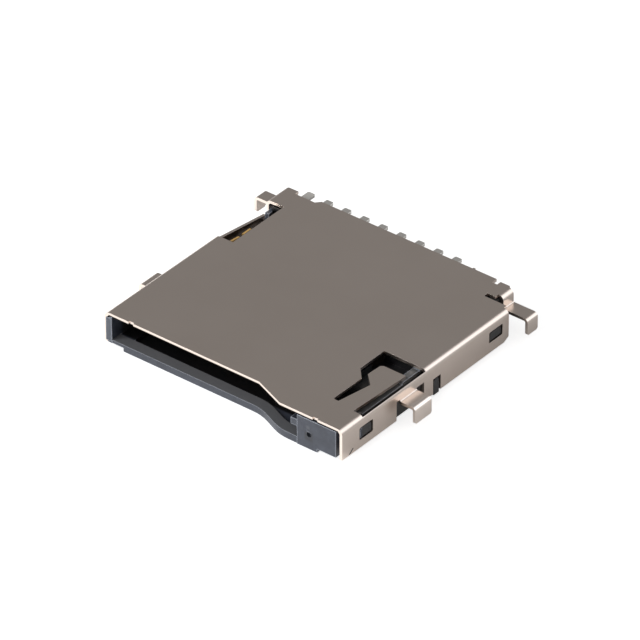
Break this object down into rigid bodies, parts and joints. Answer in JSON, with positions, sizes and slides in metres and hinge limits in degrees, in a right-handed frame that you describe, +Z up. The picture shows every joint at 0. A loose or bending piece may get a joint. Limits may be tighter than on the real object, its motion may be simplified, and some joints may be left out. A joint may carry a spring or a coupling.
{
  "type": "micro sd card socket",
  "caption": "Surface-mounted push-push socket for a micro SD card, sunk into the board, with a folded metal shell.",
  "frame": {"origin": "on the underside of the moulded base, at the middle of the shell's outline in X and Y", "axes": "+X across the card slot, the slider on the +X side; +Y from the slot to the tails, the way the card goes in; +Z up out of the board"},
  "size_m": [0.0168, 0.0153, 0.0019],
  "materials": {
    "shell_steel": "satin plated",
    "black_plastic": "fine moulded",
    "slider_plastic": "fine moulded",
    "gold_plating": "plated",
    "spring_steel": "drawn wire"
  },
  "bodies": {
    "housing": {"metal_shell": "shell_steel", "base_housing": "black_plastic", "contact_1": "gold_plating", "contact_2": "gold_plating", "contact_3": "gold_plating", "contact_4": "gold_plating", "contact_5": "gold_plating", "contact_6": "gold_plating", "contact_7": "gold_plating", "contact_8": "gold_plating", "switch_spring_leaf": "gold_plating", "switch_fixed_leaf": "gold_plating", "slider_spring": "spring_steel"},
    "slider_body": {"slider": "slider_plastic"},
    "pin_body": {"cam_pin": "spring_steel"}
  },
  "joints": [
    {"name": "slider_travel", "type": "slide", "parent": "housing", "child": "slider_body", "axis": [0, 1, 0], "range_m": [0, 0.0024], "stiffness_N_per_m": 300, "springref_m": -0.001, "deforming": ["slider_spring"]},
    {"name": "cam_pin_swing", "type": "hinge", "parent": "housing", "child": "pin_body", "pos_m": [0.006, -0.00604, 0.0014], "axis": [0, 0, 1], "range_deg": [-6.62, 0]}
  ],
  "couplings": [
    {"joint": "cam_pin_swing", "follows": "slider_travel", "rad_per_m": -48.1}
  ]
}
